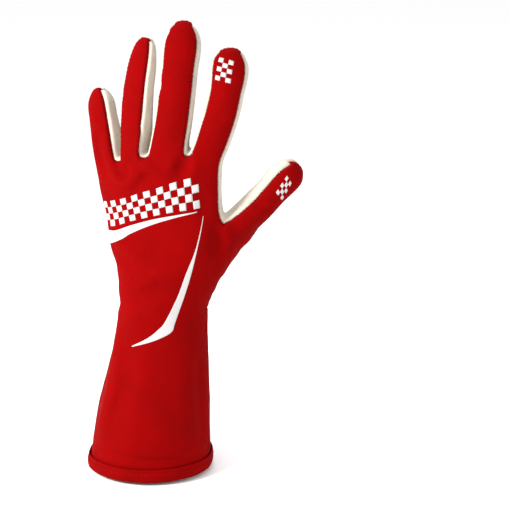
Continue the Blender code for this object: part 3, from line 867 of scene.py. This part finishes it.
WEDGE_EDGES = (
    [from_little(-2.6, 142), from_little(0.4, 120), from_little(3.4, 96), from_little(5.4, 70),
     from_little(7.8, 36), from_little(9.2, 21), from_little(19, 13.4), from_little(32, 11.8)],
    [from_little(-3.0, 142), from_little(-3.4, 120), from_little(-3.0, 96), from_little(-2.2, 70),
     from_little(-0.2, 36), from_little(1.4, 19), from_little(14, 11.9), from_little(32, 11.5)],
)
BAND_EDGES = (
    [from_little(8.4, 208), from_little(3, 207), seen(109, 201), seen(125, 198), seen(140, 193),
     seen(155, 189), seen(172, 183), seen(198, 176)],
    [from_little(9, 189), from_little(4, 188.5), seen(114, 226), seen(130, 221.5), seen(145, 218),
     seen(159, 215), seen(176, 212), seen(200, 208)],
)
INDEX_EDGES = (
    [seen(219.5, 57.5), seen(217, 69), seen(215, 79.5)],
    [seen(234, 61.5), seen(232, 73), seen(230.5, 83.5)],
)
THUMB_EDGES = (
    [seen(276, 192.5), seen(281.5, 184), seen(287, 175.5)],
    [seen(282, 200), seen(287, 191.5), seen(291.5, 183)],
)


def add_patch(bm, grid, normals):
    """A thin closed patch over rows of points: its face stands over them, and its edge goes under."""
    rows, columns = len(grid), len(grid[0])
    top = [[bm.verts.new(p + n * PRINT_THICK) for p, n in zip(a, b)] for a, b in zip(grid, normals)]
    low = [[bm.verts.new(p - n * PRINT_SUNK) for p, n in zip(a, b)] for a, b in zip(grid, normals)]
    for i in range(rows - 1):
        for j in range(columns - 1):
            bm.faces.new((top[i][j], top[i][j + 1], top[i + 1][j + 1], top[i + 1][j]))
            bm.faces.new((low[i][j], low[i + 1][j], low[i + 1][j + 1], low[i][j + 1]))
    rim = [(0, j) for j in range(columns)] + [(i, columns - 1) for i in range(1, rows)]
    rim += [(rows - 1, j) for j in range(columns - 2, -1, -1)] + [(i, 0) for i in range(rows - 2, 0, -1)]
    for (i, j), (k, m) in zip(rim, rim[1:] + rim[:1]):
        bm.faces.new((top[k][m], top[i][j], low[i][j], low[k][m]))


def curve_through(points):
    """Close points on a smooth curve through these."""
    found = []
    for i in range(len(points) - 1):
        before = points[max(i - 1, 0)]
        after = points[min(i + 2, len(points) - 1)]
        a, b = points[i], points[i + 1]
        leaving = (b - before) / 2
        arriving = (after - a) / 2
        for k in range(CURVE_STEPS):
            t = k / CURVE_STEPS
            found.append(
                a * (2 * t**3 - 3 * t**2 + 1)
                + leaving * (t**3 - 2 * t**2 + t)
                + b * (3 * t**2 - 2 * t**3)
                + arriving * (t**3 - t**2)
            )
    return [*found, points[-1]]


def strip_between(tree, edges):
    """Rows of points on the surface from one edge to the other, and rows of their normals."""
    left, right = (curve_through([on_surface(tree, ray) for ray in rays]) for rays in edges)
    widest = max((p - q).length for p, q in zip(left, right))
    across = max(2, round(widest / PRINT_STEP))
    grid, normals = [], []
    for p, q in zip(left, right):
        found = [tree.find_nearest(p.lerp(q, i / across)) for i in range(across + 1)]
        grid.append([hit[0] for hit in found])
        normals.append([hit[1] for hit in found])
    return grid, normals


def print_piece(name, patches, finish):
    """A print made of patches, each of them rows of points and rows of normals."""
    bm = bmesh.new()
    for grid, normals in patches:
        add_patch(bm, grid, normals)
    bmesh.ops.recalc_face_normals(bm, faces=bm.faces)
    mesh = bpy.data.meshes.new(name)
    bm.to_mesh(mesh)
    bm.free()
    piece = new_object(name, mesh)
    finish_piece(piece, finish)
    return piece


def make_stripe(name, tree, edges, finish):
    return print_piece(name, [strip_between(tree, edges)], finish)


def make_checks(name, tree, edges, checks):
    """A band of white checks, as many along and across as checks says."""
    grid, _ = strip_between(tree, edges)
    long_count, wide_count = len(grid) - 1, len(grid[0]) - 1
    centre = np.array([row[wide_count // 2][:] for row in grid])
    lengths = np.r_[0, np.cumsum(np.linalg.norm(np.diff(centre, axis=0), axis=1))]

    def at(u, v):
        """A point of the band, from its first end (u 0) to the last (u 1), and across it."""
        x = float(np.interp(u * lengths[-1], lengths, np.arange(long_count + 1)))
        y = v * wide_count
        i, j = min(int(x), long_count - 1), min(int(y), wide_count - 1)
        low = grid[i][j].lerp(grid[i][j + 1], y - j)
        high = grid[i + 1][j].lerp(grid[i + 1][j + 1], y - j)
        return tree.find_nearest(low.lerp(high, x - i))[:2]

    columns, rows = checks
    cuts = [k / CHECK_CUTS for k in range(CHECK_CUTS + 1)]
    patches = []
    for i in range(columns):
        for j in range(rows):
            if (i + j) % 2 == 0:
                found = [[at((i + a) / columns, (j + b) / rows) for b in cuts] for a in cuts]
                points = [[hit[0] for hit in line] for line in found]
                normals = [[hit[1] for hit in line] for line in found]
                patches.append((points, normals))
    return print_piece(name, patches, WHITE_PRINT)


def make_prints(tree):
    """The stripes and checks, which go with the back's sheet."""
    return [
        make_stripe("white_sweep", tree, SWEEP_EDGES, WHITE_PRINT),
        make_stripe("white_tick", tree, TICK_EDGES, WHITE_PRINT),
        make_stripe("black_wedge", tree, WEDGE_EDGES, BLACK_PRINT),
        make_checks("check_band", tree, BAND_EDGES, BAND_CHECKS),
        make_checks("index_check", tree, INDEX_EDGES, TIP_CHECKS),
        make_checks("thumb_check", tree, THUMB_EDGES, TIP_CHECKS),
    ]


# Hem.
HEM_STITCH_UP = 0.0088
HEM_DENT = 0.00045  # how deep the stitches press into the band, and how broad that dent is
HEM_DENT_BROAD = 0.0009
HEM_WAVES = 95  # puckers round the band, how high they are, and how broad
HEM_PUCKER = 0.00010
HEM_PUCKER_BROAD = 0.0022
HEM_SAG = (90, 0.00035)  # the band's unevenness: how many times a metre, and how high
HEM_OUTER = 0.2  # what faces outward less than this stays smooth
HEM_MIDDLE = 0.0485  # the mean radius of the band


def make_hem():
    """The hem's band, rounded, with a dent along its stitches and slight puckers between them."""
    piece = merged_copy("hem_band", "hem_band_cloth")
    to_quads(piece)
    piece.data.uv_layers.new(name="cut")
    subdivide(piece, FINE_LEVELS)
    mesh = piece.data
    places = [v.co.copy() for v in mesh.vertices]
    normals = [v.normal.copy() for v in mesh.vertices]
    for v, p, normal in zip(mesh.vertices, places, normals):
        out = normal.dot(Vector((p.x, p.y, 0)).normalized())
        if out < HEM_OUTER:
            continue
        angle = math.atan2(p.y, p.x)
        line = math.exp(-(((p.z - HEM_STITCH_UP) / HEM_DENT_BROAD) ** 2))
        pucker = math.cos(angle * HEM_WAVES) * math.exp(-(((p.z - HEM_STITCH_UP) / HEM_PUCKER_BROAD) ** 2))
        uneven = noise.noise(p * HEM_SAG[0]) * HEM_SAG[1]
        v.co = p + normal * out * (uneven - HEM_DENT * line + HEM_PUCKER * pucker)
    layer = mesh.uv_layers["cut"].data
    for face in mesh.polygons:
        start = math.atan2(face.center.y, face.center.x)
        for loop in face.loop_indices:
            p = mesh.vertices[mesh.loops[loop].vertex_index].co
            angle = math.atan2(p.y, p.x)
            angle += 2 * math.pi * round((start - angle) / (2 * math.pi))
            layer[loop].uv = (angle * HEM_MIDDLE, p.z)
    finish_piece(piece, RED_KNIT)
    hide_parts("hem_band")
    return piece


# Stitches.
SEAM_TO_ROW = 0.0022  # from a seam to the row beside it
HEM_ROWS_APART = 0.0016
SEAM_THREAD_UP = 0.00004  # how far the middle of a thread lies over the cloth
HEM_THREAD_UP = 0.00005
STITCH_LONG = 0.0022
STITCH_EVERY = 0.0031
STITCH_THICK = 0.00022  # from the middle of a thread to its outside
STITCH_TAPER = 0.45  # how much thinner a stitch's ends are, as a share of its thickness
STITCH_DIP = 1.7  # how far they dip into the cloth, as a share of it
STITCH_SIDES = 6
STITCH_RINGS = (-1, -0.6, 0, 0.6, 1)
AVERAGED = 3  # so many points of a seam each way are taken together to find the way off it
SHORTEST_ROW = 3  # a seam with no more points than this gets no stitches


def stitch_shape():
    """One stitch of thread along X, as its corners and faces: a bar whose rounded ends dip into the cloth."""
    rings = []
    for t in STITCH_RINGS:
        thin = 1 - STITCH_TAPER * t * t
        dip = STITCH_THICK * STITCH_DIP * abs(t) ** 3
        for k in range(STITCH_SIDES):
            turn = 2 * math.pi * k / STITCH_SIDES
            side = math.cos(turn) * STITCH_THICK * thin
            up = math.sin(turn) * STITCH_THICK * thin - dip
            rings.append((t * STITCH_LONG / 2, side, up))
    faces = []
    for i in range(len(STITCH_RINGS) - 1):
        for k in range(STITCH_SIDES):
            a, b = i * STITCH_SIDES + k, i * STITCH_SIDES + (k + 1) % STITCH_SIDES
            faces.append((a, b, b + STITCH_SIDES, a + STITCH_SIDES))
    last = (len(STITCH_RINGS) - 1) * STITCH_SIDES
    faces.append(tuple(range(STITCH_SIDES - 1, -1, -1)))
    faces.append(tuple(range(last, last + STITCH_SIDES)))
    return np.array(rings), faces


def sew(name, lines, finish):
    """Stitches along lines of (point, normal) as one piece."""
    shape, shape_faces = stitch_shape()
    corners, faces = [], []
    for line in lines:
        points = np.array([p[:] for p, _ in line])
        normals = np.array([n[:] for _, n in line])
        lengths = np.r_[0, np.cumsum(np.linalg.norm(np.diff(points, axis=0), axis=1))]
        count = int(lengths[-1] / STITCH_EVERY)
        for i in range(count):
            at = (i + 0.5) * lengths[-1] / count
            middle, before, after = (
                np.array([np.interp(at + off, lengths, points[:, c]) for c in range(3)])
                for off in (0, -STITCH_LONG / 2, STITCH_LONG / 2)
            )
            up = Vector([np.interp(at, lengths, normals[:, c]) for c in range(3)]).normalized()
            along = Vector(after - before).normalized()
            side = up.cross(along).normalized()
            up = along.cross(side)
            start = len(corners) * len(shape)
            corners.append(shape @ np.array((along, side, up)) + middle)
            faces += [tuple(start + k for k in face) for face in shape_faces]
    mesh = bpy.data.meshes.new(name)
    mesh.from_pydata(np.concatenate(corners).tolist(), [], faces)
    piece = new_object(name, mesh)
    finish_piece(piece, finish)
    return piece


def hem_stitches(hem):
    """Two rows of stitches round the hem."""
    tree = surface_of(hem)
    lines = []
    for up in (HEM_STITCH_UP, HEM_STITCH_UP - HEM_ROWS_APART):
        line = []
        for degrees in range(361):
            angle = math.radians(degrees)
            way = Vector((math.cos(angle), math.sin(angle), 0))
            hit, normal, _, _ = tree.ray_cast(way * OUTSIDE + Vector((0, 0, up)), -way)
            line.append((hit + normal * HEM_THREAD_UP, normal))
        lines.append(line)
    return lines


def seam_lines(skin, pairs):
    """Lines of (point, normal) beside the seams between these pairs of panels, on the first of each pair."""
    bm = bmesh.new()
    bm.from_mesh(skin.data)
    bm.normal_update()
    names = [m.name for m in skin.data.materials]
    tree = BVHTree.FromBMesh(bm)
    lines = []
    for first, second in pairs:
        links = {}
        aside = {}
        for edge in bm.edges:
            if len(edge.link_faces) != 2:
                continue
            sides = {names[f.material_index]: f for f in edge.link_faces}
            if set(sides) != {first, second}:
                continue
            a, b = edge.verts
            links.setdefault(a, []).append(b)
            links.setdefault(b, []).append(a)
            face = sides[first]
            away = face.calc_center_median() - (a.co + b.co) / 2
            for v in edge.verts:
                aside[v] = aside.get(v, Vector()) + away.normalized()
        left = dict.fromkeys(links)
        while left:
            ends = [v for v in left if len(links[v]) == 1]
            v = ends[0] if ends else next(iter(left))
            chain = [v]
            del left[v]
            while True:
                following = [n for n in links[chain[-1]] if n in left]
                if not following:
                    break
                chain.append(following[0])
                del left[following[0]]
            line = []
            for i, v in enumerate(chain):
                near = chain[max(0, i - AVERAGED) : i + AVERAGED + 1]
                way = sum((aside[w] for w in near), Vector()).normalized()
                hit, normal, _, _ = tree.find_nearest(v.co + way * SEAM_TO_ROW)
                line.append((hit + normal * SEAM_THREAD_UP, normal))
            if len(line) > SHORTEST_ROW:
                lines.append(line)
    bm.free()
    return lines


# Grip pads.
PAD_THICK = 0.0010
PAD_CLEAR = 0.0001  # between a pad and the palm
PAD_ROUND = 0.0003  # the rounding of its edges, and its steps
PAD_ROUND_STEPS = 3


def make_pads(tree):
    """The grip pads, laid on the palm as it is now, with their corners and edges rounded."""
    for node in ("grip_pad_lower", "grip_pad_upper"):
        piece = merged_copy(node, node + "_silicone")
        keep_outer_sheet(piece, PAD_THICK)
        to_quads(piece)
        subdivide(piece, FINE_LEVELS)
        for v in piece.data.vertices:
            hit, normal, _, _ = tree.find_nearest(v.co)
            v.co = hit + normal * PAD_CLEAR
        piece.data.update()
        apply_modifier(piece, "SOLIDIFY", thickness=PAD_THICK, offset=1)
        apply_modifier(piece, "BEVEL", width=PAD_ROUND, segments=PAD_ROUND_STEPS, limit_method="ANGLE")
        finish_piece(piece, BLACK_SILICONE)
        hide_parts(node)


# Studio.
# A light: its name and place, how wide it is, and its power in watts.
Light = namedtuple("Light", "name place wide watts")
LIGHTS = (
    Light("key", (-0.85, -0.5, 0.7), 0.3, 20),
    Light("fill", (0.9, -0.5, 0.5), 0.5, 2),
    Light("top", (0.0, 0.5, 1.0), 0.5, 3),
)
LIT_AT = Vector((0.02, 0, 0.17))
WORLD_STRENGTH = 1.0
FLOOR_WIDE = 8
FLOOR_UP = -0.002


def add_light(given):
    light = bpy.data.objects.new(given.name, bpy.data.lights.new(given.name, "AREA"))
    bpy.context.scene.collection.objects.link(light)
    light.data.shape = "DISK"
    light.data.size = given.wide
    light.data.energy = given.watts
    light.location = given.place
    light.rotation_mode = "QUATERNION"
    light.rotation_quaternion = (LIT_AT - Vector(given.place)).to_track_quat("-Z", "Y")


def make_studio():
    scene = bpy.context.scene
    scene.view_settings.view_transform = "Standard"
    scene.world = bpy.data.worlds.new("studio")
    scene.world.use_nodes = True
    background = scene.world.node_tree.nodes["Background"]
    background.inputs["Color"].default_value = (1, 1, 1, 1)
    background.inputs["Strength"].default_value = WORLD_STRENGTH
    for light in LIGHTS:
        add_light(light)
    bpy.ops.object.select_all(action="DESELECT")
    bpy.ops.mesh.primitive_plane_add(size=FLOOR_WIDE, location=(0, 0, FLOOR_UP))
    floor = bpy.context.view_layer.objects.active
    floor.name = "floor"
    pale = (0.95, 0.95, 0.95, 1)
    made, _, _ = new_material("pale_floor", Base_Color=pale, Roughness=0.9, Specular_IOR_Level=0.1)
    floor.data.materials.append(made)


make_camera()
skin = make_skin()
round_tips(skin)
shape_skin(skin)
skin_tree = surface_of(skin)
panels = make_panels(skin)
prints = make_prints(skin_tree)
hem = make_hem()
hem_rows = sew("hem_stitches", hem_stitches(hem), RED_THREAD)
make_pads(skin_tree)
inner = [name for name in WALLS if name != "back"]
back_pairs = [("back", name) for name in inner]
cuff_pairs = [("cuff_front", "back"), ("cuff_front", "palm")]
palm_pairs = [("palm", "cuff_front")]
back_rows = sew("back_stitches", seam_lines(skin, back_pairs), RED_THREAD)
cuff_rows = sew("cuff_stitches", seam_lines(skin, cuff_pairs), RED_THREAD)
palm_rows = sew("palm_stitches", seam_lines(skin, palm_pairs), CREAM_THREAD)
bpy.data.objects.remove(skin)
make_studio()
